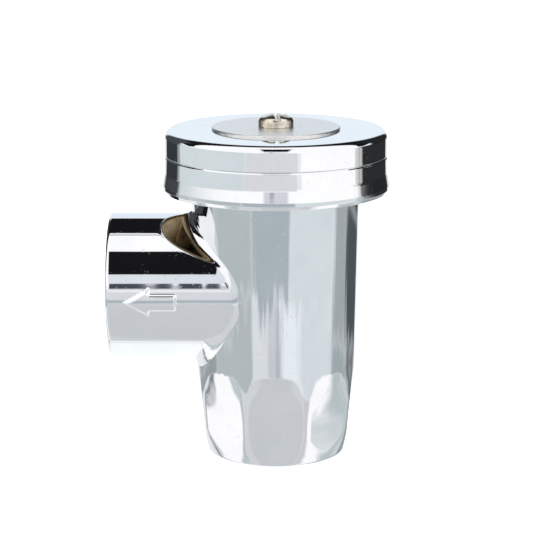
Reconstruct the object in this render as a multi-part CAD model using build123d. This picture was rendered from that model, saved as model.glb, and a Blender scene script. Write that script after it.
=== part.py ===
from build123d import *
import math
import os

# An angle-pattern atmospheric vacuum breaker, the automatic air-inlet vent of a water line.
# Water enters the threaded socket in the base, lifts a guided float off the top of an inner
# nozzle and leaves through the side socket. When the pressure fails, the float drops back on
# the nozzle and air enters under the hood, through the vent bonnet.
# Millimetres. The origin is the centre of the base face, +Z is up along the barrel, and the
# side outlet points along -X. Sizes suit a 1/2 inch taper pipe thread.

# ---- driving dimensions ----------------------------------------------------------------------
TAP_RADIUS = 9.13            # tapping size of the 1/2 inch taper pipe thread
SOCKET_DEPTH = 14.5          # depth of each threaded socket
MOUTH_CHAMFER = 1.5          # lead-in of each socket, out to the thread's large diameter

BARREL_FOOT_RADIUS = 15.45   # barrel just above the wrench flats
BARREL_TOP_RADIUS = 16.1     # barrel under the hood: the casting has a slight draft
BARREL_SHOULDER_Z = 51.6
NECK_RADIUS = 15.2
BODY_TOP_Z = 54.5

WRENCH_SIDES = 8
WRENCH_APOTHEM_FOOT = 13.45  # half the across-flats size at the foot
WRENCH_APOTHEM_TOP = 14.2
WRENCH_TOP_Z = 9.0
BARREL_FOOT_Z = 16.5         # the flats fade into the round barrel up to this height
FOOT_RADIUS = 13.4           # turned taper that takes the corners off the foot
FOOT_TAPER_RADIUS = 16.2     # where the taper would be at the top of the flats
FOOT_ROUND = 0.4

PORT_CENTRE_Z = 32.8
PORT_RADIUS = 13.95
PORT_END_X = -32.0
PORT_END_ROUND = 0.6
PORT_JUNCTION_ROUND = 2.2
PORT_PASSAGE_RADIUS = 8.3
RELIEF_START_X = -21.8       # where the two shallow flats beside the port begin
RELIEF_ANGLE = 64.0          # their position round the port, up from the horizontal
RELIEF_SLOPE = 13.5

ARROW_CENTRE_Z = 32.5
ARROW_TIP_X = -28.5
ARROW_NECK_X = -23.8
ARROW_TAIL_X = -18.7
ARROW_HEAD_HALF = 2.75
ARROW_SHAFT_HALF = 1.65
ARROW_HEIGHT = 0.4

CHAMBER_RADIUS = 12.9
CHAMBER_FLOOR_Z = 17.5
WEB_HOLE_RADIUS = 8.2
BONNET_BORE_RADIUS = 13.5
BONNET_SHOULDER_Z = 45.6

NOZZLE_BORE_RADIUS = 6.7
NOZZLE_OUTER_RADIUS = 8.6
INLET_SEAT_Z = 36.5
SEAL_THICKNESS = 0.8         # both flat body seals
SEAT_DISC_THICKNESS = 1.6    # both silicone discs
CARRIER_WEB = 1.7

VENT_SEAT_Z = 46.4
VENT_OPENING_RADIUS = 9.2
VENT_LIP_RADIUS = 10.6
POST_RADIUS = 4.2
POST_TOP_Z = 61.85
SPIDER_ARMS = 4

HOOD_RADIUS = 21.3
HOOD_RIM_RADIUS = 21.75
HOOD_TOP_Z = 63.25
HOOD_BOTTOM_Z = 51.4
HOOD_WALL = 0.9
PLATE_RADIUS = 12.24
PLATE_THICKNESS = 0.45
SCREW_TOP_Z = 66.2
SCREW_HEAD_RADIUS = 3.35
SCREW_RADIUS = 1.7

RUNNING_GAP = 0.08           # radial gap of a piece that slides
FITTED_GAP = 0.05            # radial gap of threads and spigots that are screwed home

# ---- heights worked out from them ------------------------------------------------------------
CARRIER_WEB_BOTTOM_Z = INLET_SEAT_Z + SEAT_DISC_THICKNESS
CARRIER_WEB_TOP_Z = CARRIER_WEB_BOTTOM_Z + CARRIER_WEB
VENT_DISC_TOP_Z = CARRIER_WEB_TOP_Z + SEAT_DISC_THICKNESS
FLOAT_LIFT = VENT_SEAT_Z - VENT_DISC_TOP_Z
FLANGE_BOTTOM_Z = BODY_TOP_Z + SEAL_THICKNESS
FLANGE_TOP_Z = FLANGE_BOTTOM_Z + 2.0
NOZZLE_FLANGE_Z = CHAMBER_FLOOR_Z + SEAL_THICKNESS
HOOD_CEILING_Z = HOOD_TOP_Z - HOOD_WALL
PLATE_TOP_Z = HOOD_TOP_Z + PLATE_THICKNESS


# ---- helpers ---------------------------------------------------------------------------------
def turned(*profile):
    """A solid of revolution about Z from its (radius, height) corners."""
    outline = make_face(Plane.XZ * Polyline(*profile, close=True))
    return revolve(outline, Axis.Z)


def tube(outer, inner, bottom, top):
    """A plain ring."""
    return turned((inner, bottom), (outer, bottom), (outer, top), (inner, top))


def rod(radius, bottom, top):
    return Pos(0, 0, bottom) * Cylinder(
        radius, top - bottom, align=(Align.CENTER, Align.CENTER, Align.MIN)
    )


def prism(apothem, sides, bottom, top, top_apothem=None):
    """A regular prism, or a tapering one, with flats square to the X and Y axes."""
    turn = 180.0 / sides

    def ring(size, height):
        return Pos(0, 0, height) * RegularPolygon(
            size, sides, major_radius=False, rotation=turn
        )

    return loft([ring(apothem, bottom), ring(top_apothem or apothem, top)], ruled=True)


def slotted_head(radius, bottom, top, edge_height, slot_width, slot_depth, turn):
    """A domed screw head with one straight slot, turned about Z by an angle."""
    rise = top - bottom - edge_height
    dome_radius = (radius**2 + rise**2) / (2 * rise)
    dome = Pos(0, 0, top - dome_radius) * Sphere(dome_radius)
    head = rod(radius, bottom, top) & dome
    slot = Pos(0, 0, top) * Rot(0, 0, turn) * Box(slot_width, 4 * radius, 2 * slot_depth)
    return head - slot


# ---- the casting -----------------------------------------------------------------------------
def corner(radius, index, height):
    """A point on a wrench corner's own meridian."""
    angle = math.radians((index + 0.5) * 360 / WRENCH_SIDES)
    return Vector(radius * math.cos(angle), radius * math.sin(angle), height)


def round_section():
    """The barrel's circle, split into one arc for each flat below it."""
    centre = Vector(0, 0, BARREL_FOOT_Z)
    arcs = []
    for index in range(WRENCH_SIDES):
        start = corner(BARREL_FOOT_RADIUS, index, BARREL_FOOT_Z)
        end = corner(BARREL_FOOT_RADIUS, index + 1, BARREL_FOOT_Z)
        middle = (start + end) / 2 - centre
        bulge = centre + middle.normalized() * BARREL_FOOT_RADIUS
        arcs.append(ThreePointArc(start, bulge, end))
    return make_face(arcs)


def wrench_section():
    """The octagon at the top of the wrench flats."""
    radius = WRENCH_APOTHEM_TOP / math.cos(math.pi / WRENCH_SIDES)
    corners = [corner(radius, index, WRENCH_TOP_Z) for index in range(WRENCH_SIDES)]
    return make_face(Polyline(*corners, close=True))


def barrel():
    """The upright barrel, with eight wrench flats cast round its foot."""
    taper = turned(
        (0, 0),
        (FOOT_RADIUS - FOOT_ROUND, 0),
        (FOOT_RADIUS, FOOT_ROUND),
        (FOOT_TAPER_RADIUS, WRENCH_TOP_Z),
        (0, WRENCH_TOP_Z),
    )
    flats = prism(
        WRENCH_APOTHEM_FOOT, WRENCH_SIDES, 0, WRENCH_TOP_Z, WRENCH_APOTHEM_TOP
    )
    run_out = loft([round_section(), wrench_section()], ruled=True)
    above = turned(
        (0, BARREL_FOOT_Z),
        (BARREL_FOOT_RADIUS, BARREL_FOOT_Z),
        (BARREL_TOP_RADIUS, BARREL_SHOULDER_Z),
        (NECK_RADIUS, BARREL_SHOULDER_Z + 0.8),
        (NECK_RADIUS, BODY_TOP_Z),
        (0, BODY_TOP_Z),
    )
    return (flats & taper) + run_out + above


def outlet_boss():
    """The side boss, with a rounded rim and two shallow relief flats under the hood."""
    length = -PORT_END_X
    boss = Pos(0, 0, PORT_CENTRE_Z) * Rot(0, -90, 0) * Cylinder(
        PORT_RADIUS, length, align=(Align.CENTER, Align.CENTER, Align.MIN)
    )
    rim = boss.edges().filter_by(GeomType.CIRCLE).sort_by(Axis.X)[0]
    boss = fillet(rim, PORT_END_ROUND)
    for side in (-1, 1):
        tilt = Rot(side * (90 - RELIEF_ANGLE), 0, 0) * Rot(0, RELIEF_SLOPE, 0)
        radial = math.radians(RELIEF_ANGLE)
        start = Pos(
            RELIEF_START_X,
            side * PORT_RADIUS * math.cos(radial) * -1,
            PORT_CENTRE_Z + PORT_RADIUS * math.sin(radial),
        )
        cutter = Box(60, 40, 20, align=(Align.CENTER, Align.CENTER, Align.MIN))
        boss -= start * tilt * cutter
    return boss


def flow_arrow():
    """A raised arrow on the front of the boss that points the way the water leaves."""
    half = (
        (ARROW_TIP_X, 0),
        (ARROW_NECK_X, ARROW_HEAD_HALF),
        (ARROW_NECK_X, ARROW_SHAFT_HALF),
        (ARROW_TAIL_X, ARROW_SHAFT_HALF),
    )
    outline = [*half, *((x, -z) for x, z in reversed(half[1:]))]
    face = make_face(Plane.XZ * Polyline(*outline, close=True))
    block = Pos(0, 0, ARROW_CENTRE_Z) * extrude(face, PORT_RADIUS + 2, dir=(0, -1, 0))
    skin = Pos(0, 0, PORT_CENTRE_Z) * Rot(0, -90, 0) * Cylinder(
        PORT_RADIUS + ARROW_HEIGHT, 80
    )
    inside = Pos(0, 0, PORT_CENTRE_Z) * Rot(0, -90, 0) * Cylinder(PORT_RADIUS - 1.0, 80)
    return (block & skin) - inside


def socket():
    """The hole of a threaded socket along Z, with its mouth at z = 0."""
    return turned(
        (0, -1),
        (TAP_RADIUS + MOUTH_CHAMFER + 1, -1),
        (TAP_RADIUS, MOUTH_CHAMFER),
        (TAP_RADIUS, SOCKET_DEPTH),
        (0, SOCKET_DEPTH),
    )


def valve_body():
    outside = barrel() + outlet_boss()
    seam = [
        edge
        for edge in outside.edges()
        if edge.geom_type not in (GeomType.LINE, GeomType.CIRCLE)
        and -BARREL_TOP_RADIUS - 1 < edge.center().X < -5
        and edge.bounding_box().max.Z > WRENCH_TOP_Z + 10
    ]
    outside = fillet(seam, PORT_JUNCTION_ROUND)
    outside += flow_arrow()
    inlet = socket()
    outlet = Pos(PORT_END_X, 0, PORT_CENTRE_Z) * Rot(0, 90, 0) * socket()
    passage = Pos(0, 0, PORT_CENTRE_Z) * Rot(0, -90, 0) * Cylinder(
        PORT_PASSAGE_RADIUS,
        -PORT_END_X - SOCKET_DEPTH + 0.5,
        align=(Align.CENTER, Align.CENTER, Align.MIN),
    )
    chamber = turned(
        (0, SOCKET_DEPTH - 1),
        (WEB_HOLE_RADIUS, SOCKET_DEPTH - 1),
        (WEB_HOLE_RADIUS, CHAMBER_FLOOR_Z),
        (CHAMBER_RADIUS, CHAMBER_FLOOR_Z),
        (CHAMBER_RADIUS, BONNET_SHOULDER_Z),
        (BONNET_BORE_RADIUS, BONNET_SHOULDER_Z),
        (BONNET_BORE_RADIUS, BODY_TOP_Z + 1),
        (0, BODY_TOP_Z + 1),
    )
    return outside - inlet - outlet - passage - chamber


# ---- inlet nozzle ----------------------------------------------------------------------------
def inlet_nozzle():
    """A screwed-in seat tube with a hexagon, whose rim is the inlet seat."""
    spigot_radius = WEB_HOLE_RADIUS - FITTED_GAP
    shell = turned(
        (NOZZLE_BORE_RADIUS, SOCKET_DEPTH + 0.8),
        (NOZZLE_BORE_RADIUS + 0.8, SOCKET_DEPTH),
        (spigot_radius, SOCKET_DEPTH),
        (spigot_radius, NOZZLE_FLANGE_Z + 0.2),
        (NOZZLE_OUTER_RADIUS, NOZZLE_FLANGE_Z + 0.2),
        (NOZZLE_OUTER_RADIUS, INLET_SEAT_Z - 1.2),
        (NOZZLE_OUTER_RADIUS - 0.5, INLET_SEAT_Z),
        (NOZZLE_BORE_RADIUS + 0.4, INLET_SEAT_Z),
        (NOZZLE_BORE_RADIUS, INLET_SEAT_Z - 0.4),
    )
    hexagon = prism(10.3, 6, NOZZLE_FLANGE_Z, NOZZLE_FLANGE_Z + 3.0)
    bevel = turned(
        (0, NOZZLE_FLANGE_Z - 1),
        (11.6, NOZZLE_FLANGE_Z - 1),
        (11.6, NOZZLE_FLANGE_Z + 2.4),
        (10.4, NOZZLE_FLANGE_Z + 3.0),
        (0, NOZZLE_FLANGE_Z + 3.0),
    )
    bore = rod(NOZZLE_BORE_RADIUS, SOCKET_DEPTH - 1, INLET_SEAT_Z + 1)
    return shell + ((hexagon & bevel) - bore)


def nozzle_seal():
    return tube(10.2, WEB_HOLE_RADIUS + 0.1, CHAMBER_FLOOR_Z, NOZZLE_FLANGE_Z)


# ---- float -----------------------------------------------------------------------------------
def float_guide():
    """Four wings that slide in the nozzle, under a flange and a tubular stud."""
    wing_radius = NOZZLE_BORE_RADIUS - RUNNING_GAP
    wing_bottom = 23.5
    flange_bottom = INLET_SEAT_Z - 1.5
    column = turned(
        (0, wing_bottom + 1.0),
        (1.2, wing_bottom),
        (2.4, wing_bottom + 1.5),
        (2.4, flange_bottom - 1.5),
        (5.2, flange_bottom),
        (5.2, INLET_SEAT_Z),
        (2.0, INLET_SEAT_Z),
        (2.0, CARRIER_WEB_TOP_Z - 0.1),
        (0, CARRIER_WEB_TOP_Z - 0.1),
    )
    guide = column
    envelope = turned(
        (0, wing_bottom),
        (wing_radius - 1.6, wing_bottom),
        (wing_radius, wing_bottom + 1.6),
        (wing_radius, flange_bottom - 0.4),
        (wing_radius - 0.8, flange_bottom),
        (0, flange_bottom),
    )
    height = flange_bottom - wing_bottom
    middle = (flange_bottom + wing_bottom) / 2
    for quarter in (45, 135):
        vane = Pos(0, 0, middle) * Rot(0, 0, quarter) * Box(20, 1.3, height)
        guide += vane & envelope
    screw_hole = rod(1.55, wing_bottom + 8.5, CARRIER_WEB_TOP_Z + 1)
    return guide - screw_hole


def inlet_disc():
    return tube(9.8, 2.0 + FITTED_GAP, INLET_SEAT_Z, CARRIER_WEB_BOTTOM_Z)


def float_carrier():
    """The plastic plate that holds both silicone discs in shallow cups."""
    outer = 11.8
    return turned(
        (2.0 + FITTED_GAP, CARRIER_WEB_BOTTOM_Z),
        (9.85, CARRIER_WEB_BOTTOM_Z),
        (9.85, INLET_SEAT_Z + 0.5),
        (outer - 0.5, INLET_SEAT_Z + 0.5),
        (outer, INLET_SEAT_Z + 1.0),
        (outer, VENT_DISC_TOP_Z - 0.6),
        (outer - 0.2, VENT_DISC_TOP_Z - 0.4),
        (11.25, VENT_DISC_TOP_Z - 0.4),
        (11.25, CARRIER_WEB_TOP_Z),
        (2.0 + FITTED_GAP, CARRIER_WEB_TOP_Z),
    )


def vent_disc():
    return tube(11.2, 1.6, CARRIER_WEB_TOP_Z, VENT_DISC_TOP_Z)


def disc_washer():
    return tube(5.0, 1.6, VENT_DISC_TOP_Z, VENT_DISC_TOP_Z + 0.6)


def float_screw():
    head_bottom = VENT_DISC_TOP_Z + 0.6
    head = slotted_head(2.8, head_bottom, head_bottom + 1.7, 1.2, 0.8, 0.8, 30)
    return head + rod(1.5, head_bottom - 9.0, head_bottom + 0.1)


# ---- vent bonnet -----------------------------------------------------------------------------
def vent_bonnet():
    """The screwed-in air seat: a ring with a lip below, four arms and the hood's post."""
    thread_radius = BONNET_BORE_RADIUS - FITTED_GAP
    ring = turned(
        (VENT_OPENING_RADIUS + 0.2, VENT_SEAT_Z),
        (VENT_LIP_RADIUS - 0.2, VENT_SEAT_Z),
        (VENT_LIP_RADIUS, VENT_SEAT_Z + 0.8),
        (thread_radius - 0.6, VENT_SEAT_Z + 0.8),
        (thread_radius, VENT_SEAT_Z + 1.4),
        (thread_radius, FLANGE_BOTTOM_Z),
        (NECK_RADIUS, FLANGE_BOTTOM_Z),
        (NECK_RADIUS, FLANGE_TOP_Z - 0.4),
        (NECK_RADIUS - 0.4, FLANGE_TOP_Z),
        (11.2, FLANGE_TOP_Z),
        (10.8, FLANGE_TOP_Z - 0.4),
        (10.8, VENT_SEAT_Z + 3.2),
        (VENT_OPENING_RADIUS, VENT_SEAT_Z + 1.8),
        (VENT_OPENING_RADIUS, VENT_SEAT_Z + 0.2),
    )
    post = turned(
        (0, VENT_SEAT_Z + 3.4),
        (3.4, VENT_SEAT_Z + 3.4),
        (POST_RADIUS, VENT_SEAT_Z + 4.2),
        (POST_RADIUS, POST_TOP_Z - 0.4),
        (POST_RADIUS - 0.4, POST_TOP_Z),
        (0, POST_TOP_Z),
    )
    bonnet = ring + post
    arm_height = 3.6
    arm_centre_z = VENT_SEAT_Z + 3.6 + arm_height / 2
    for index in range(SPIDER_ARMS):
        arm = Pos(7.5, 0, arm_centre_z) * Box(8.0, 2.2, arm_height)
        bonnet += Rot(0, 0, (index + 0.5) * 360 / SPIDER_ARMS) * arm
    return bonnet - rod(SCREW_RADIUS + FITTED_GAP, POST_TOP_Z - 8.0, POST_TOP_Z + 1)


def bonnet_seal():
    return tube(NECK_RADIUS - 0.1, BONNET_BORE_RADIUS + 0.1, BODY_TOP_Z, FLANGE_BOTTOM_Z)


# ---- hood ------------------------------------------------------------------------------------
def hood():
    """The pressed cover: a flat crown, a scribed line round the side and a flared rim."""
    corner = 1.3
    inner = HOOD_RADIUS - HOOD_WALL
    rim_inner = HOOD_RIM_RADIUS - HOOD_WALL
    scribe_z = 58.3
    with BuildPart() as made:
        with BuildSketch(Plane.XZ):
            with BuildLine():
                Line((1.9, HOOD_CEILING_Z), (1.9, HOOD_TOP_Z))
                Line((1.9, HOOD_TOP_Z), (HOOD_RADIUS - corner, HOOD_TOP_Z))
                RadiusArc(
                    (HOOD_RADIUS - corner, HOOD_TOP_Z),
                    (HOOD_RADIUS, HOOD_TOP_Z - corner),
                    corner,
                )
                Polyline(
                    (HOOD_RADIUS, HOOD_TOP_Z - corner),
                    (HOOD_RADIUS, scribe_z + 0.2),
                    (HOOD_RADIUS - 0.12, scribe_z),
                    (HOOD_RADIUS + 0.05, scribe_z - 0.2),
                )
                ThreePointArc(
                    (HOOD_RADIUS + 0.05, scribe_z - 0.2),
                    (HOOD_RADIUS + 0.14, 54.6),
                    (HOOD_RIM_RADIUS, 52.3),
                )
                ThreePointArc(
                    (HOOD_RIM_RADIUS, 52.3),
                    (HOOD_RIM_RADIUS - 0.2, HOOD_BOTTOM_Z + 0.25),
                    (HOOD_RIM_RADIUS - 0.55, HOOD_BOTTOM_Z),
                )
                Polyline(
                    (HOOD_RIM_RADIUS - 0.55, HOOD_BOTTOM_Z),
                    (rim_inner, HOOD_BOTTOM_Z + 0.35),
                    (rim_inner, 52.3),
                    (inner, 56.0),
                    (inner, HOOD_CEILING_Z - 0.6),
                    (inner - 0.6, HOOD_CEILING_Z),
                    (1.9, HOOD_CEILING_Z),
                )
            make_face()
        revolve(axis=Axis.Z)
    return made.part


def hood_lock_washer():
    return tube(4.0, 1.9, POST_TOP_Z, HOOD_CEILING_Z)


def name_plate():
    """A blank disc under the screw, with a turned-down edge bevel."""
    return turned(
        (1.9, HOOD_TOP_Z),
        (PLATE_RADIUS, HOOD_TOP_Z),
        (PLATE_RADIUS, PLATE_TOP_Z - 0.15),
        (PLATE_RADIUS - 0.15, PLATE_TOP_Z),
        (1.9, PLATE_TOP_Z),
    )


def hood_screw():
    head = slotted_head(
        SCREW_HEAD_RADIUS, PLATE_TOP_Z, SCREW_TOP_Z, 1.45, 1.0, 1.0, 8
    )
    return head + rod(SCREW_RADIUS, PLATE_TOP_Z - 8.5, PLATE_TOP_Z + 0.1)


# ---- build -----------------------------------------------------------------------------------
NODES = {
    "valve_body": valve_body,
    "inlet_nozzle": inlet_nozzle,
    "nozzle_seal": nozzle_seal,
    "float_guide": float_guide,
    "inlet_disc": inlet_disc,
    "float_carrier": float_carrier,
    "vent_disc": vent_disc,
    "disc_washer": disc_washer,
    "float_screw": float_screw,
    "vent_bonnet": vent_bonnet,
    "bonnet_seal": bonnet_seal,
    "hood": hood,
    "hood_lock_washer": hood_lock_washer,
    "name_plate": name_plate,
    "hood_screw": hood_screw,
}

os.makedirs("parts", exist_ok=True)
for node_name, make_node in NODES.items():
    export_step(make_node(), f"parts/{node_name}.step")
print("float lift", round(FLOAT_LIFT, 3))
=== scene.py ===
import math

import bpy
import numpy as np
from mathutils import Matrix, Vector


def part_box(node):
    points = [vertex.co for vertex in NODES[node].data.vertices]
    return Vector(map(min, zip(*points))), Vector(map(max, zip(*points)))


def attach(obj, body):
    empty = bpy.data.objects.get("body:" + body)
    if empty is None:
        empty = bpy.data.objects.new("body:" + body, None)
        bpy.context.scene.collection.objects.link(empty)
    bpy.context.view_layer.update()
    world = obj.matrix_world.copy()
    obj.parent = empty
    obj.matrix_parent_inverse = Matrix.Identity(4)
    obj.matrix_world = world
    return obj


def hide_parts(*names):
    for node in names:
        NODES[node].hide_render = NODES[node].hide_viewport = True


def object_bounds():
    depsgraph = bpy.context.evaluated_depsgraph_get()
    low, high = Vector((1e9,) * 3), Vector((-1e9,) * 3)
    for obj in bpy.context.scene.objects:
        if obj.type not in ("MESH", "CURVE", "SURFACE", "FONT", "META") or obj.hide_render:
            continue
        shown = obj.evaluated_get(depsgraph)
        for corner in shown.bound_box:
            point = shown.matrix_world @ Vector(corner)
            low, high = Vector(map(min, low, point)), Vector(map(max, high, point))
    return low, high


# The looks of an angle-pattern vacuum breaker: polished chrome on a hand-finished casting, a
# pressed hood, a stippled blank plate and a nickelled screw, with bare brass inside. The visible
# metal is rebuilt as dense meshes from distance fields in millimetres, so every edge has its
# small radius and the reflections stay clean. Blender works in metres.

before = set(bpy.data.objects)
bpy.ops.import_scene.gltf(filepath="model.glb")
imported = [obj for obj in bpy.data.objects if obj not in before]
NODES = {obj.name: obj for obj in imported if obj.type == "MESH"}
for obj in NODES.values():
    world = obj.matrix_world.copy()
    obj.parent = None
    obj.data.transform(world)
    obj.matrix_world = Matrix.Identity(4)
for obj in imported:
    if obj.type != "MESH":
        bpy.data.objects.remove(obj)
CAD_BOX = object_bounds()
MM = 0.001

# ---- sizes, in millimetres -------------------------------------------------------------------
HOOD_LOW, HOOD_HIGH = (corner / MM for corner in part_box("hood"))
SCREW_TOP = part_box("hood_screw")[1].z / MM
PLATE_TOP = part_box("name_plate")[1].z / MM
PLATE_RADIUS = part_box("name_plate")[1].x / MM
BODY_LOW, BODY_HIGH = (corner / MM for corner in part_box("valve_body"))
CROWN = HOOD_HIGH.z
RIM_RADIUS = HOOD_HIGH.x
HOOD_RADIUS = 21.3
PORT_Z = 32.8
PORT_RADIUS = 13.95
PORT_END = BODY_LOW.x
RELIEF_START = -21.8        # where the two flats on the boss begin
RELIEF_ANGLE = math.radians(64.0)
RELIEF_SLOPE = math.radians(13.5)
TAP_RADIUS = 9.13
PITCH = 25.4 / 14           # of the taper pipe thread
SOCKET_DEPTH = 14.5
CHAMBER_RADIUS = 12.9
BONNET_BORE_RADIUS = 13.5
SCREW_HEAD_RADIUS = 3.35
SLOT_DEPTH = 1.05


# ---- distance-field tools --------------------------------------------------------------------
def join_round(a, b, r):
    """Union with a concave fillet of radius r."""
    hollow = np.sqrt(np.maximum(r - a, 0) ** 2 + np.maximum(r - b, 0) ** 2)
    return np.maximum(r, np.minimum(a, b)) - hollow


def keep_round(a, b, r):
    """Intersection with its edge rounded to radius r."""
    corner = np.sqrt(np.maximum(r + a, 0) ** 2 + np.maximum(r + b, 0) ** 2)
    return np.minimum(-r, np.maximum(a, b)) + corner


def cut_round(a, b, r):
    """a without b, with the new edge rounded."""
    return keep_round(a, -b, r)


def ease(t):
    t = np.clip(t, 0, 1)
    return t * t * (3 - 2 * t)


def slab(v, low, high):
    return np.maximum(low - v, v - high)


def polygon(u, v, corners):
    """Signed distance to a closed outline in the plane."""
    best = np.full_like(u, 1e9)
    sign = np.ones_like(u)
    for (ax, ay), (bx, by) in zip(corners, corners[1:] + corners[:1]):
        ex, ey = bx - ax, by - ay
        wx, wy = u - ax, v - ay
        t = np.clip((wx * ex + wy * ey) / (ex * ex + ey * ey), 0, 1)
        best = np.minimum(best, (wx - ex * t) ** 2 + (wy - ey * t) ** 2)
        upward = (ay <= v) & (by > v)
        downward = (ay > v) & (by <= v)
        turn = ex * wy - ey * wx
        sign = np.where((upward & (turn > 0)) | (downward & (turn < 0)), -sign, sign)
    return sign * np.sqrt(best)


def surface_net(field, low, high, step):
    """Quads on the zero surface of a field: one vertex for each grid cell that it crosses."""
    axes = [np.arange(a, b + step, step) for a, b in zip(low, high)]
    shape = tuple(len(a) for a in axes)
    values = np.empty(shape)
    for start in range(0, shape[0], 24):
        piece = np.meshgrid(axes[0][start : start + 24], axes[1], axes[2], indexing="ij")
        values[start : start + 24] = field(*piece)
    inside = values < 0
    corners = [(i, j, k) for i in (0, 1) for j in (0, 1) for k in (0, 1)]

    def shifted(array, offset):
        i, j, k = offset
        return array[
            i : shape[0] - 1 + i, j : shape[1] - 1 + j, k : shape[2] - 1 + k
        ]

    count = sum(shifted(inside, c).astype(np.int8) for c in corners)
    cells = np.argwhere((count > 0) & (count < 8))
    index = np.full(tuple(n - 1 for n in shape), -1, np.int64)
    index[tuple(cells.T)] = np.arange(len(cells))
    total = np.zeros((len(cells), 3))
    hits = np.zeros(len(cells))
    for a in corners:
        for axis in range(3):
            if a[axis]:
                continue
            b = tuple(v + (n == axis) for n, v in enumerate(a))
            va = values[tuple((cells + a).T)]
            vb = values[tuple((cells + b).T)]
            crossed = (va < 0) != (vb < 0)
            t = np.where(crossed, va / np.where(crossed, va - vb, 1), 0)
            place = np.repeat(np.array(a, float)[None], len(cells), 0)
            place[:, axis] += t
            total += place * crossed[:, None]
            hits += crossed
    points = np.array(low) + (cells + total / hits[:, None]) * step

    quads = []
    for axis in range(3):
        u, v = (axis + 1) % 3, (axis + 2) % 3
        start = [slice(None)] * 3
        end = [slice(None)] * 3
        start[axis], end[axis] = slice(0, -1), slice(1, None)
        first, second = inside[tuple(start)], inside[tuple(end)]
        for leaving in (True, False):
            if leaving:
                found = np.argwhere(first & ~second)
            else:
                found = np.argwhere(~first & second)
            limit = np.array(shape) - 1
            ok = np.all(found > 0, axis=1) | (
                (found[:, u] > 0) & (found[:, v] > 0)
            )
            found = found[ok & np.all(found < limit, axis=1)]
            ring = []
            for du, dv in ((1, 1), (0, 1), (0, 0), (1, 0)):
                cell = found.copy()
                cell[:, u] -= du
                cell[:, v] -= dv
                ring.append(index[tuple(cell.T)])
            ring = np.stack(ring, 1)
            quads.append(ring[:, ::-1] if leaving else ring)
    quads = np.concatenate(quads)
    return points, quads[np.all(quads >= 0, axis=1)][:, ::-1]


def slope(field, p, step=0.01):
    out = np.empty_like(p)
    for axis in range(3):
        a, b = p.copy(), p.copy()
        a[:, axis] -= step
        b[:, axis] += step
        out[:, axis] = (field(*b.T) - field(*a.T)) / (2 * step)
    return out


def solid(name, field, low, high, step, masks=None):
    """A mesh of the field's surface, with normals taken from the field itself."""
    p, quads = surface_net(field, low, high, step)
    for _ in range(6):
        g = slope(field, p)
        length2 = np.maximum((g**2).sum(1), 0.05)
        move = g * (field(*p.T) / length2)[:, None]
        far = np.linalg.norm(move, axis=1)
        move *= np.minimum(1, 0.6 * step / np.maximum(far, 1e-9))[:, None]
        p -= move
    p = np.clip(p, np.array(BOX_LOW), np.array(BOX_HIGH))
    g = slope(field, p, 0.03)
    normals = g / np.maximum(np.linalg.norm(g, axis=1), 1e-9)[:, None]
    return to_object(name, p, quads, normals, masks)


def to_object(name, p, faces, normals, masks=None):
    mesh = bpy.data.meshes.new(name)
    faces = np.asarray(faces)
    sides = faces.shape[1]
    mesh.vertices.add(len(p))
    mesh.vertices.foreach_set("co", (p * MM).astype(np.float32).ravel())
    mesh.loops.add(faces.size)
    mesh.loops.foreach_set("vertex_index", faces.astype(np.int32).ravel())
    mesh.polygons.add(len(faces))
    starts = np.arange(0, faces.size, sides, dtype=np.int32)
    mesh.polygons.foreach_set("loop_start", starts)
    mesh.polygons.foreach_set("use_smooth", np.ones(len(faces), bool))
    mesh.update(calc_edges=True)
    mesh.validate()
    for key, mask in (masks or {}).items():
        layer = mesh.attributes.new(key, "FLOAT", "POINT")
        layer.data.foreach_set("value", mask(*p.T).astype(np.float32))
    mesh.normals_split_custom_set_from_vertices(normals.tolist())
    made = bpy.data.objects.new(name, mesh)
    bpy.context.scene.collection.objects.link(made)
    return made


BOX_LOW = [v / MM + 1e-4 for v in CAD_BOX[0]]
BOX_HIGH = [v / MM - 1e-4 for v in CAD_BOX[1]]


# ---- valve body ------------------------------------------------------------------------------
def octagon(x, y, apothem, edge):
    """Distance to a regular octagon with flats square to X and Y, corners softened."""
    turn = math.pi / 4
    angle = np.arctan2(y, x)
    local = angle - turn * np.round(angle / turn)
    r = np.hypot(x, y)
    here = r * np.cos(local) - apothem
    beside = r * np.cos(turn - np.abs(local)) - apothem
    gap = np.maximum(edge - np.abs(here - beside), 0) / edge
    return np.maximum(here, beside) + gap**2 * edge * 0.25


def barrel(x, y, z):
    r = np.hypot(x, y)
    wall = 15.42 + (z - 15.0) * (16.1 - 15.42) / (51.6 - 15.0)
    round_part = r - wall
    flats = octagon(x, y, 13.45 + 0.078 * z, 0.9)
    fade = ease((18.6 - z) / 11.2)
    side = round_part * (1 - fade) + flats * fade
    foot = (r - (13.35 + 0.33 * z)) * 0.95
    side = keep_round(side, foot, 0.5)
    neck = np.maximum(r - 15.2, slab(z, 40, BODY_HIGH.z))
    below = keep_round(keep_round(side, -z, 0.5), z - 51.9, 0.45)
    return np.minimum(below, neck)


def boss(x, y, z):
    h = z - PORT_Z
    r = np.sqrt(y * y + h * h)
    shape = keep_round(r - PORT_RADIUS, PORT_END - x, 0.75)
    for side in (-1, 1):
        across = side * y * math.cos(RELIEF_ANGLE) + h * math.sin(RELIEF_ANGLE)
        plane = (x - RELIEF_START) * math.sin(RELIEF_SLOPE)
        plane = plane + (across - PORT_RADIUS) * math.cos(RELIEF_SLOPE)
        shape = keep_round(shape, plane, 0.22)
    return np.maximum(shape, x - 2)


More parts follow.
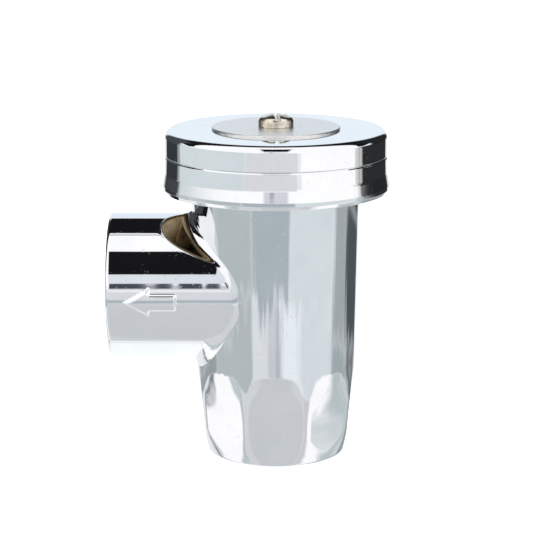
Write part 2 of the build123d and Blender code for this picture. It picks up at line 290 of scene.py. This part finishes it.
def arrow(x, y, z):
    """A raised arrow on the boss's front line, pointing out of the outlet."""
    outline = [
        (-28.5, 32.5),
        (-23.7, 35.25),
        (-23.7, 34.15),
        (-18.7, 34.15),
        (-18.7, 30.85),
        (-23.7, 30.85),
        (-23.7, 29.75),
    ]
    h = z - PORT_Z
    above = np.sqrt(y * y + h * h) - PORT_RADIUS
    edge = (polygon(x, z, outline) + above * 0.9) * 0.74
    return np.maximum(keep_round(edge, above - 0.38, 0.14), y + 5)


def thread(along, angle, mouth):
    """Wall radius of a taper pipe socket: a cut V thread behind a plain lead-in."""
    turns = along / PITCH - angle / (2 * math.pi)
    wave = np.abs(turns - np.round(turns)) * 2
    tooth = np.clip((wave - 0.10) / 0.80, 0, 1)
    depth = 1.18 - mouth / 32
    fade = ease((13.6 - mouth) / 2.2)
    return TAP_RADIUS + tooth * depth * fade


def socket(r, angle, along, mouth):
    """The air inside a threaded socket; mouth is the distance in from its face."""
    wall = (r - thread(along, angle, mouth)) * 0.62
    lead = (r - (10.65 - mouth)) * 0.707
    return np.maximum(np.minimum(wall, lead), mouth - SOCKET_DEPTH)


def bores(x, y, z):
    r = np.hypot(x, y)
    inlet = socket(r, np.arctan2(y, x), z, z)
    h = z - PORT_Z
    rp = np.hypot(y, h)
    outlet = socket(rp, np.arctan2(h, y), x, x - PORT_END)
    passage = np.maximum(rp - 8.3, slab(x, -22, -5))
    web = np.maximum(r - 8.2, slab(z, 12, 20))
    chamber = keep_round(r - CHAMBER_RADIUS, slab(z, 17.5, 60), 0.4)
    bonnet_bore = keep_round(r - BONNET_BORE_RADIUS, 45.6 - z, 0.2)
    space = np.minimum(np.minimum(inlet, outlet), np.minimum(passage, web))
    return np.minimum(space, np.minimum(chamber, bonnet_bore))


def casting(x, y, z):
    # the blend narrows towards the front line, where boss and barrel nearly meet
    blend = 0.5 + 1.7 * ease((-x - 8.0) / 6.5)
    skin = join_round(barrel(x, y, z), boss(x, y, z), blend)
    skin = join_round(skin, arrow(x, y, z), 0.12)
    return cut_round(skin, bores(x, y, z), 0.16)


def bare_inside(x, y, z):
    """One inside the bores, where the plating didn't reach, fading out at their mouths."""
    depth = np.minimum(z, x - PORT_END)
    inside = ease((0.35 - bores(x, y, z)) / 0.3)
    throat = ease((depth - 0.4) / 2.4)
    rim = ease((z - 53.2) / 0.8)
    return np.maximum(inside * throat, rim)


# ---- hood ------------------------------------------------------------------------------------
def rounded_line(corners, grain=0.04):
    """Points and normals along an open outline whose corners carry a radius each."""
    points, normals = [], []

    def add(place, normal):
        points.append(place)
        normals.append(normal)

    corners = [(np.array(c[:2], float), c[2]) for c in corners]
    for n, (here, radius) in enumerate(corners):
        if n in (0, len(corners) - 1):
            other = corners[1][0] if n == 0 else corners[-2][0]
            way = (other - here) if n == 0 else (here - other)
            way /= np.linalg.norm(way)
            add(here, np.array((-way[1], way[0])))
            continue
        before = here - corners[n - 1][0]
        after = corners[n + 1][0] - here
        before /= np.linalg.norm(before)
        after /= np.linalg.norm(after)
        bend = math.atan2(
            before[0] * after[1] - before[1] * after[0], float(before @ after)
        )
        reach = radius * math.tan(abs(bend) / 2)
        side = 1 if bend > 0 else -1
        first = np.array((-before[1], before[0]))
        centre = here - before * reach + first * radius * side
        steps = max(2, int(abs(bend) * max(radius, 0.25) / grain))
        for k in range(steps + 1):
            turn = bend * k / steps
            c, s = math.cos(turn), math.sin(turn)
            normal = np.array((first[0] * c - first[1] * s, first[0] * s + first[1] * c))
            add(centre - normal * radius * side, normal)
    return np.array(points), np.array(normals)


def lathe(name, outline, segments=288, masks=None):
    """A body of revolution from a rounded outline, normals to the outline's left."""
    line, across = rounded_line(outline)
    keep = [0]
    for n in range(1, len(line)):
        if np.linalg.norm(line[n] - line[keep[-1]]) > 1e-5:
            keep.append(n)
    line, across = line[keep], across[keep]
    angle = np.linspace(0, 2 * math.pi, segments, endpoint=False)
    c, s = np.cos(angle), np.sin(angle)
    rows = len(line)
    p = np.empty((rows, segments, 3))
    normals = np.empty_like(p)
    p[..., 0], p[..., 1] = line[:, :1] * c, line[:, :1] * s
    p[..., 2] = line[:, 1:2]
    normals[..., 0], normals[..., 1] = across[:, :1] * c, across[:, :1] * s
    normals[..., 2] = across[:, 1:2]
    ids = np.arange(rows * segments).reshape(rows, segments)
    faces = []
    for a, b in zip(ids[:-1], ids[1:]):
        ring = [a, np.roll(a, -1), np.roll(b, -1), b]
        faces.append(np.stack(ring, 1))
    faces = np.concatenate(faces)[:, ::-1]
    return to_object(name, p.reshape(-1, 3), faces, normals.reshape(-1, 3), masks)


def hood_outline():
    top = CROWN
    low = HOOD_LOW.z
    return [
        (1.9, top, 0),
        (PLATE_RADIUS - 1, top, 0.5),
        (HOOD_RADIUS - 0.02, top, 1.35),
        (HOOD_RADIUS + 0.02, 58.55, 0.12),
        (HOOD_RADIUS - 0.16, 58.32, 0.08),
        (HOOD_RADIUS + 0.02, 58.10, 0.12),
        (HOOD_RADIUS + 0.10, 55.2, 6.0),
        (RIM_RADIUS - 0.01, 52.9, 0.35),
        (RIM_RADIUS - 0.02, 52.2, 0.3),
        (RIM_RADIUS - 0.42, low + 0.02, 0.25),
        (RIM_RADIUS - 0.85, low + 0.1, 0.2),
        (RIM_RADIUS - 0.95, 52.6, 0.8),
        (HOOD_RADIUS - 0.9, 56.2, 4.0),
        (HOOD_RADIUS - 0.9, top - 0.9, 0.5),
        (4.05, top - 0.9, 0.0),
    ]


def bare_hood(x, y, z):
    """The hood's inner side is unplated."""
    r = np.hypot(x, y)
    wall = np.interp(z, [51.5, 52.6, 56.0, 62.0], [21.0, 20.95, 20.65, 20.6])
    return np.where((r < wall) & (z < CROWN - 0.45), 1.0, 0.0)


# ---- plate and screws ------------------------------------------------------------------------
def plate_outline():
    top = PLATE_TOP
    edge = PLATE_RADIUS
    return [
        (1.9, top - 0.1, 0),
        (2.0, top, 0.04),
        (edge - 0.16, top, 0.07),
        (edge, top - 0.16, 0.07),
        (edge, CROWN, 0),
    ]


def hood_screw(x, y, z):
    r = np.hypot(x, y)
    top = SCREW_TOP
    base = PLATE_TOP
    dome = np.sqrt(r * r + (z - (top - 6.7)) ** 2) - 6.7
    head = keep_round(keep_round(r - SCREW_HEAD_RADIUS, dome, 0.55), base - z, 0.12)
    turn = math.radians(8)
    across = x * math.cos(turn) + y * math.sin(turn)
    slot = np.maximum(np.abs(across) - 0.5, top - SLOT_DEPTH - z)
    head = cut_round(head, slot, 0.10)
    shank = np.maximum(r - 1.7, slab(z, base - 8.5, base + 0.3))
    return np.minimum(head, shank)


# ---- materials -------------------------------------------------------------------------------
class Paint:
    """A material's node tree, with short ways to add nodes."""

    def __init__(self, name):
        self.material = bpy.data.materials.new(name)
        self.material.use_nodes = True
        self.tree = self.material.node_tree
        self.shader = self.tree.nodes["Principled BSDF"]
        self.place = self.add("ShaderNodeTexCoord").outputs["Object"]

    def add(self, kind, **values):
        node = self.tree.nodes.new(kind)
        for key, value in values.items():
            setattr(node, key, value)
        return node

    def link(self, a, b):
        self.tree.links.new(a, b)

    def noise(self, scale, detail=3.0, rough=0.5, stretch=None):
        node = self.add("ShaderNodeTexNoise")
        node.inputs["Scale"].default_value = scale
        node.inputs["Detail"].default_value = detail
        node.inputs["Roughness"].default_value = rough
        source = self.place
        if stretch:
            fit = self.add("ShaderNodeMapping")
            fit.inputs["Scale"].default_value = stretch
            self.link(source, fit.inputs["Vector"])
            source = fit.outputs["Vector"]
        self.link(source, node.inputs["Vector"])
        return node.outputs["Fac"]

    def ramp(self, value, stops, smooth="LINEAR"):
        node = self.add("ShaderNodeValToRGB")
        node.color_ramp.interpolation = smooth
        marks = node.color_ramp.elements
        while len(marks) < len(stops):
            marks.new(0.5)
        for mark, (place, colour) in zip(marks, stops):
            mark.position = place
            shade = colour if isinstance(colour, tuple) else (colour,) * 3
            mark.color = (*shade, 1)
        self.link(value, node.inputs["Fac"])
        return node.outputs["Color"]

    def math(self, action, a, b=None, c=None):
        node = self.add("ShaderNodeMath", operation=action)
        for slot, value in zip(node.inputs, (a, b, c)):
            if value is None:
                continue
            if isinstance(value, (int, float)):
                slot.default_value = value
            else:
                self.link(value, slot)
        return node.outputs[0]

    def mix(self, amount, a, b):
        """Blend two colours; only the colour sockets of the node are switched on."""
        node = self.add("ShaderNodeMix", data_type="RGBA")
        slots = [s for s in node.inputs if s.enabled]
        for slot, value in zip(slots, (amount, a, b)):
            if isinstance(value, tuple):
                slot.default_value = (*value, 1)
            elif isinstance(value, (int, float)):
                slot.default_value = value
            else:
                self.link(value, slot)
        return next(s for s in node.outputs if s.enabled)

    def bump(self, height, distance, strength=1.0, under=None):
        node = self.add("ShaderNodeBump")
        node.inputs["Distance"].default_value = distance
        node.inputs["Strength"].default_value = strength
        self.link(height, node.inputs["Height"])
        if under is not None:
            self.link(under, node.inputs["Normal"])
        return node.outputs["Normal"]

    def finish(self, colour, rough, normal=None, metal=0.0):
        for name, value in (("Base Color", colour), ("Roughness", rough)):
            self.link(value, self.shader.inputs[name])
        if normal is not None:
            self.link(normal, self.shader.inputs["Normal"])
        self.shader.inputs["Metallic"].default_value = metal
        return self.material


def rings(paint, scale):
    """Fine lathe lines: noise that only changes along the radius and the height."""
    split = paint.add("ShaderNodeSeparateXYZ")
    paint.link(paint.place, split.inputs[0])
    x, y, z = split.outputs
    square = paint.math("ADD", paint.math("MULTIPLY", x, x), paint.math("MULTIPLY", y, y))
    radius = paint.math("SQRT", square)
    both = paint.add("ShaderNodeCombineXYZ")
    paint.link(radius, both.inputs[0])
    paint.link(z, both.inputs[1])
    node = paint.add("ShaderNodeTexNoise")
    node.inputs["Scale"].default_value = scale
    node.inputs["Detail"].default_value = 2
    paint.link(both.outputs[0], node.inputs["Vector"])
    return node.outputs["Fac"]


def chrome(name, bare, waves, brass=(0.60, 0.43, 0.22), worn_foot=0.0):
    """Polished plate over hand-finished metal, with bare metal where the mask says so."""
    paint = Paint(name)
    mask = paint.add("ShaderNodeAttribute", attribute_name=bare).outputs["Fac"]
    edge = paint.math("MULTIPLY_ADD", paint.noise(900, 3), 0.5, -0.25)
    mask = paint.math("ADD", mask, paint.math("MULTIPLY", edge, 0.6))
    mask = paint.ramp(mask, [(0.42, 0.0), (0.62, 1.0)], "EASE")
    haze = paint.noise(120, 4, 0.6)
    specks = paint.ramp(paint.noise(2600, 1), [(0.71, 0.0), (0.76, 1.0)])
    plate = paint.ramp(haze, [(0.3, (0.80, 0.82, 0.845)), (0.7, (0.86, 0.875, 0.89))])
    plate = paint.mix(paint.math("MULTIPLY", specks, 0.35), plate, (0.55, 0.56, 0.58))
    metal = paint.ramp(
        paint.noise(420, 5, 0.65),
        [
            (0.30, tuple(v * 0.55 for v in brass)),
            (0.55, brass),
            (0.80, tuple(min(1, v * 1.25) for v in brass)),
        ],
    )
    colour = paint.mix(mask, plate, metal)
    smooth = paint.ramp(haze, [(0.35, 0.018), (0.75, 0.040)])
    smooth = paint.mix(paint.math("MULTIPLY", specks, 0.6), smooth, (0.22,) * 3)
    rough = paint.mix(mask, smooth, (0.34,) * 3)
    rolling = paint.bump(paint.noise(95, 1.5, 0.4), waves, 1.0)
    if worn_foot:
        split = paint.add("ShaderNodeSeparateXYZ")
        paint.link(paint.place, split.inputs[0])
        height = paint.math("MULTIPLY", split.outputs[2], 40)
        low_down = paint.ramp(height, [(0.40, 1.0), (0.74, 0.0)], "EASE")
        swell = paint.math("SUBTRACT", paint.noise(70, 0.6, 0.4), 0.5)
        dents = paint.math("MULTIPLY", swell, low_down)
        rolling = paint.bump(dents, worn_foot, 1.0, rolling)
    pits = paint.bump(specks, 0.000006, 0.5, rolling)
    tooled = paint.math("MULTIPLY", rings(paint, 5200), mask)
    normal = paint.bump(tooled, 0.00003, 0.6, pits)
    return paint.finish(colour, rough, normal, 1.0)


def turned_metal(name, colour, rough=0.24):
    paint = Paint(name)
    lines = rings(paint, 6200)
    stain = paint.noise(230, 5, 0.6)
    dark = tuple(v * 0.72 for v in colour)
    light = tuple(min(1, v * 1.12) for v in colour)
    tone = paint.ramp(stain, [(0.25, dark), (0.55, colour), (0.85, light)])
    gloss = paint.ramp(stain, [(0.3, rough * 0.8), (0.8, rough * 1.5)])
    grain = paint.bump(paint.noise(3800, 2), 0.000012, 0.5)
    normal = paint.bump(lines, 0.00003, 0.55, grain)
    return paint.finish(tone, gloss, normal, 1.0)


def stippled_plate():
    paint = Paint("stippled nickel")
    fine = paint.noise(3600, 3, 0.7)
    cloud = paint.noise(160, 3)
    tone = paint.ramp(fine, [(0.35, (0.66, 0.655, 0.65)), (0.65, (0.93, 0.925, 0.91))])
    tone = paint.mix(paint.math("MULTIPLY", cloud, 0.25), tone, (0.84, 0.83, 0.80))
    gloss = paint.ramp(fine, [(0.3, 0.24), (0.7, 0.42)])
    normal = paint.bump(fine, 0.00004, 0.7)
    return paint.finish(tone, gloss, normal, 1.0)


def nickelled_screw():
    paint = Paint("nickelled brass")
    worn = paint.noise(900, 4, 0.6)
    tone = paint.ramp(worn, [(0.35, (0.50, 0.42, 0.29)), (0.62, (0.80, 0.77, 0.70))])
    gloss = paint.ramp(worn, [(0.3, 0.30), (0.7, 0.13)])
    normal = paint.bump(paint.noise(2400, 3), 0.00003, 0.6)
    return paint.finish(tone, gloss, normal, 1.0)


def moulded(name, colour, rough, fleck=0.06, sheen=0.0):
    paint = Paint(name)
    cloud = paint.noise(340, 4, 0.6)
    low = tuple(v * (1 - fleck) for v in colour)
    high = tuple(min(1, v * (1 + fleck)) for v in colour)
    tone = paint.ramp(cloud, [(0.3, low), (0.7, high)])
    gloss = paint.ramp(cloud, [(0.3, rough * 0.85), (0.7, rough * 1.15)])
    grain = paint.bump(paint.noise(5200, 2), 0.00002, 0.5)
    paint.shader.inputs["Sheen Weight"].default_value = sheen
    return paint.finish(tone, gloss, grain)


def dress(obj, material):
    obj.data.materials.clear()
    obj.data.materials.append(material)


# ---- build the visible pieces ----------------------------------------------------------------
body_chrome = chrome("plated casting", "bare", 0.000028, worn_foot=0.0005)
hood_chrome = chrome("plated pressing", "bare", 0.000012, (0.55, 0.42, 0.26))

casting_piece = solid(
    "plated_casting",
    casting,
    (PORT_END - 0.61, -16.81, -0.61),
    (16.9, 16.9, BODY_HIGH.z + 0.6),
    0.30,
    {"bare": bare_inside},
)
dress(casting_piece, body_chrome)
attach(casting_piece, "valve")
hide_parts("valve_body")

hood_piece = lathe("plated_hood", hood_outline(), 360, {"bare": bare_hood})
dress(hood_piece, hood_chrome)
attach(hood_piece, "valve")
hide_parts("hood")

plate_piece = lathe("blank_plate", plate_outline(), 288)
dress(plate_piece, stippled_plate())
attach(plate_piece, "valve")
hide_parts("name_plate")

screw_piece = solid(
    "slotted_screw",
    hood_screw,
    (-3.61, -3.61, PLATE_TOP - 8.9),
    (3.7, 3.7, SCREW_TOP + 0.3),
    0.11,
)
dress(screw_piece, nickelled_screw())
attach(screw_piece, "valve")
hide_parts("hood_screw")

brass = turned_metal("turned brass", (0.78, 0.58, 0.29))
steel = turned_metal("turned stainless", (0.62, 0.61, 0.59), 0.2)
silicone = moulded("moulded silicone", (0.42, 0.085, 0.05), 0.5, 0.1, 0.15)
acetal = moulded("moulded acetal", (0.80, 0.79, 0.74), 0.38, 0.03)
rubber = moulded("black seal", (0.022, 0.022, 0.024), 0.6, 0.2, 0.2)
for node, material in {
    "inlet_nozzle": brass,
    "float_guide": brass,
    "vent_bonnet": brass,
    "disc_washer": steel,
    "float_screw": steel,
    "hood_lock_washer": steel,
    "inlet_disc": silicone,
    "vent_disc": silicone,
    "float_carrier": acetal,
    "nozzle_seal": rubber,
    "bonnet_seal": rubber,
}.items():
    dress(NODES[node], material)


# ---- stage -----------------------------------------------------------------------------------
def floor():
    mesh = bpy.data.meshes.new("floor")
    wide = 3.0
    mesh.from_pydata(
        [(-wide, -wide, 0), (wide, -wide, 0), (wide, wide, 0), (-wide, wide, 0)],
        [],
        [(0, 1, 2, 3)],
    )
    made = bpy.data.objects.new("floor", mesh)
    made.location.z = CAD_BOX[0][2] - 0.00005
    bpy.context.scene.collection.objects.link(made)
    paint = Paint("white sweep")
    tone = paint.ramp(paint.noise(8, 2), [(0.3, 0.955), (0.7, 0.965)])
    rough = paint.ramp(paint.noise(40, 2), [(0.3, 0.85), (0.7, 0.95)])
    paint.link(tone, paint.shader.inputs["Emission Color"])
    paint.shader.inputs["Emission Strength"].default_value = 0.6
    dress(made, paint.finish(tone, rough))
    made.visible_glossy = False
    return made


def studio():
    """Light from all round, with the soft boxes and dark gaps that polished metal shows."""
    world = bpy.data.worlds.new("studio")
    bpy.context.scene.world = world
    world.use_nodes = True
    tree = world.node_tree
    tree.nodes.clear()

    def add(kind, **values):
        node = tree.nodes.new(kind)
        for key, value in values.items():
            setattr(node, key, value)
        return node

    def calc(action, a, b=None, c=None):
        node = add("ShaderNodeMath", operation=action)
        for slot, value in zip(node.inputs, (a, b, c)):
            if value is None:
                continue
            if isinstance(value, (int, float)):
                slot.default_value = value
            else:
                tree.links.new(value, slot)
        return node.outputs[0]

    def band(value, low, high, soft=1.5):
        """One between two angles, zero outside, with soft edges."""
        up = add("ShaderNodeMapRange", interpolation_type="SMOOTHSTEP")
        down = add("ShaderNodeMapRange", interpolation_type="SMOOTHSTEP")
        for node, edge, ends in ((up, low, (0, 1)), (down, high, (1, 0))):
            tree.links.new(value, node.inputs["Value"])
            node.inputs["From Min"].default_value = edge - soft
            node.inputs["From Max"].default_value = edge + soft
            node.inputs["To Min"].default_value = ends[0]
            node.inputs["To Max"].default_value = ends[1]
        return calc("MULTIPLY", up.outputs[0], down.outputs[0])

    def mix(amount, a, b):
        node = add("ShaderNodeMix", data_type="RGBA")
        slots = [s for s in node.inputs if s.enabled]
        for slot, value in zip(slots, (amount, a, b)):
            if isinstance(value, tuple):
                slot.default_value = (*value, 1)
            elif isinstance(value, (int, float)):
                slot.default_value = value
            else:
                tree.links.new(value, slot)
        return next(s for s in node.outputs if s.enabled)

    way = add("ShaderNodeTexCoord").outputs["Generated"]
    # slow noise that bends the bands sideways, so they aren't ruled straight
    ripple = add("ShaderNodeTexNoise")
    ripple.inputs["Scale"].default_value = 7.0
    ripple.inputs["Detail"].default_value = 3.0
    tree.links.new(way, ripple.inputs["Vector"])
    drift = calc("MULTIPLY_ADD", ripple.outputs["Fac"], 26.0, -13.0)
    split = add("ShaderNodeSeparateXYZ")
    tree.links.new(way, split.inputs[0])
    x, y, z = split.outputs
    front = calc("MULTIPLY", y, -1.0)
    azimuth = calc("MULTIPLY", calc("ARCTAN2", x, front), 180 / math.pi)
    height = calc("MULTIPLY", calc("ARCSINE", z), 180 / math.pi)
    pitch = calc("MULTIPLY", calc("ARCTAN2", z, front), 180 / math.pi)

    aside = calc("MULTIPLY", calc("ARCSINE", x), 180 / math.pi)
    wander = calc("ADD", azimuth, drift)
    jag = add("ShaderNodeTexNoise")
    jag.inputs["Scale"].default_value = 9.0
    jag.inputs["Detail"].default_value = 4.0
    tree.links.new(way, jag.inputs["Vector"])
    lift = calc("MULTIPLY_ADD", jag.outputs["Fac"], 4.0, -2.0)
    # only the light low down is ragged, below what the hood mirrors
    low_only = band(height, -95.0, -14.8, 0.5)
    uneven = calc("ADD", height, calc("MULTIPLY", lift, low_only))

    # what the upright walls mirror: one set of compass bands for each range of heights
    colour = seen(228, 233, 236)
    for low, high, soft, around in WALLS:
        ring = seen(228, 233, 236)
        for start, end, edge, shade in around:
            ring = mix(band(wander, start, end, edge * 1.8), ring, seen(*shade))
        colour = mix(band(uneven, low, high, soft), colour, ring)
    # what the round side boss mirrors, by how far up and over the light comes from
    up = band(height, 2.0, 200.0, 3.0)
    sky = seen(252, 254, 255)
    for low, high, soft, reach, shade in CEILING:
        slit = calc("MULTIPLY", band(pitch, low, high, soft), band(aside, -reach, reach, 2.0))
        sky = mix(slit, sky, seen(*shade))
    dash = calc("MULTIPLY", band(pitch, 6.2, 14.2, 0.8), band(aside, -6.0, -1.6, 0.05))
    for gap in (-3.82, -3.07, -2.03):
        open_here = calc("SUBTRACT", 1.0, band(aside, gap - 0.08, gap + 0.08, 0.04))
        dash = calc("MULTIPLY", dash, open_here)
    sky = mix(dash, sky, seen(69, 73, 80))
    colour = mix(up, colour, sky)
    for low, high, top, shade in BACK_CORNERS:
        dark = calc("MULTIPLY", band(azimuth, low, high, 4.0), band(height, -6.0, top, 4.0))
        colour = mix(dark, colour, seen(*shade))
    behind = band(pitch, -181.0, -93.0, 6.0)
    under = calc("MULTIPLY", behind, band(aside, -18.0, 18.0, 3.0))
    colour = mix(under, colour, seen(247, 253, 255))

    shown = add("ShaderNodeBackground")
    tree.links.new(colour, shown.inputs["Color"])
    plain = add("ShaderNodeBackground")
    plain.inputs["Color"].default_value = (1, 1, 1, 1)
    path = add("ShaderNodeLightPath")
    pick = add("ShaderNodeMixShader")
    tree.links.new(path.outputs["Is Glossy Ray"], pick.inputs[0])
    tree.links.new(plain.outputs[0], pick.inputs[1])
    tree.links.new(shown.outputs[0], pick.inputs[2])
    out = add("ShaderNodeOutputWorld")
    tree.links.new(pick.outputs[0], out.inputs[0])


def seen(*shade):
    """The light that polished plate has to mirror to look like this screen colour."""
    plate = (0.83, 0.857, 0.867)
    linear = (((c / 255 + 0.055) / 1.055) ** 2.4 for c in shade)
    return tuple(v / p for v, p in zip(linear, plate))


# compass bands as from, to, softness in degrees (0 is the front, + is to the right) and the
# colour that the plate shows there
HOOD_WALLS = [
    (-118, -28, 3.0, (207, 217, 220)),
    (-28, 23, 1.5, (213, 216, 221)),
    (23, 88, 2.0, (254, 254, 255)),
    (88, 95, 1.0, (207, 209, 204)),
    (95, 152, 2.0, (42, 44, 46)),
    (-150, -118, 2.0, (50, 54, 57)),
]
BARREL_WALLS = [
    (-150, -97, 3.0, (150, 158, 160)),
    (-97, -31, 3.0, (176, 186, 188)),
    (-31, 22, 2.0, (167, 178, 184)),
    (22, 85, 2.5, (208, 218, 221)),
    (88, 118, 2.5, (160, 168, 171)),
    (118, 152, 2.0, (74, 82, 86)),
]
LOW_WALLS = [
    (-150, -97, 3.0, (150, 158, 160)),
    (-97, -32, 2.0, (176, 185, 188)),
    (-32, -13, 1.5, (217, 222, 226)),
    (-13, -3, 2.0, (196, 201, 206)),
    (-3, 9, 2.0, (181, 187, 194)),
    (9, 34, 2.5, (229, 237, 241)),
    (34, 86, 2.5, (210, 218, 223)),
    (88, 120, 3.0, (158, 170, 173)),
    (120, 152, 2.5, (110, 118, 122)),
]
SKIRT_WALLS = [
    (-118, -28, 3.0, (191, 201, 203)),
    (-28, 23, 2.0, (206, 211, 215)),
    (23, 88, 3.0, (215, 219, 223)),
    (88, 95, 1.0, (196, 198, 194)),
    (95, 152, 2.0, (42, 44, 46)),
    (-150, -118, 2.0, (50, 54, 57)),
]
FLOOR_WALLS = [
    (-115, -105, 3.0, (120, 126, 130)),
    (-105, -72, 4.0, (252, 253, 254)),
    (-72, -54, 4.0, (184, 195, 197)),
    (-54, -30, 5.0, (206, 209, 212)),
    (-30, 30, 6.0, (196, 201, 204)),
    (30, 58, 5.0, (199, 200, 204)),
    (60, 92, 4.0, (252, 253, 254)),
    (92, 115, 4.0, (182, 193, 195)),
    (120, 160, 4.0, (146, 156, 160)),
]
# from, to and softness in degrees above the horizon, and the bands between them
WALLS = [
    (-10.2, 9.0, 0.3, HOOD_WALLS),
    (-12.0, -10.2, 0.3, SKIRT_WALLS),
    (-16.3, -12.0, 0.5, BARREL_WALLS),
    (-19.4, -16.3, 0.5, LOW_WALLS),
    (-95.0, -19.4, 0.6, FLOOR_WALLS),
]
# dark room corners behind, left and right: from, to, how high they reach, colour
BACK_CORNERS = [
    (114, 160, 40.0, (34, 36, 38)),
    (-156, -114, 36.0, (66, 70, 74)),
]
# overhead slits: from, to, softness, how far they reach to each side, colour; the angles count
# from the horizon in front, over the top, to the horizon behind
CEILING = [
    (3.8, 11.0, 0.8, 12, (208, 211, 218)),
    (14.0, 28.5, 1.0, 12, (220, 226, 233)),
    (28.5, 66.5, 0.8, 12, (22, 22, 24)),
    (97.5, 99.0, 0.4, 12, (60, 60, 62)),
    (102, 144, 0.8, 80, (22, 22, 24)),
    (144, 176, 2.0, 80, (223, 235, 244)),
]

floor()
studio()

sun = bpy.data.lights.new("overhead", "AREA")
sun.shape = "RECTANGLE"
sun.size, sun.size_y = 0.8, 0.6
sun.energy = 6
lamp = bpy.data.objects.new("overhead", sun)
lamp.location = (-0.05, -0.1, 0.9)
lamp.visible_glossy = False
bpy.context.scene.collection.objects.link(lamp)

# ---- camera ----------------------------------------------------------------------------------
lens = bpy.data.cameras.new("camera")
lens.sensor_width = 36
lens.lens = 127.8
lens.clip_start = 0.01
eye = bpy.data.objects.new("camera", lens)
eye.location = (0.00077, -0.3745, 0.1221)
eye.rotation_euler = (math.radians(90 - 13.29), 0, 0)
bpy.context.scene.collection.objects.link(eye)
bpy.context.scene.camera = eye
bpy.context.scene.view_settings.view_transform = "Standard"
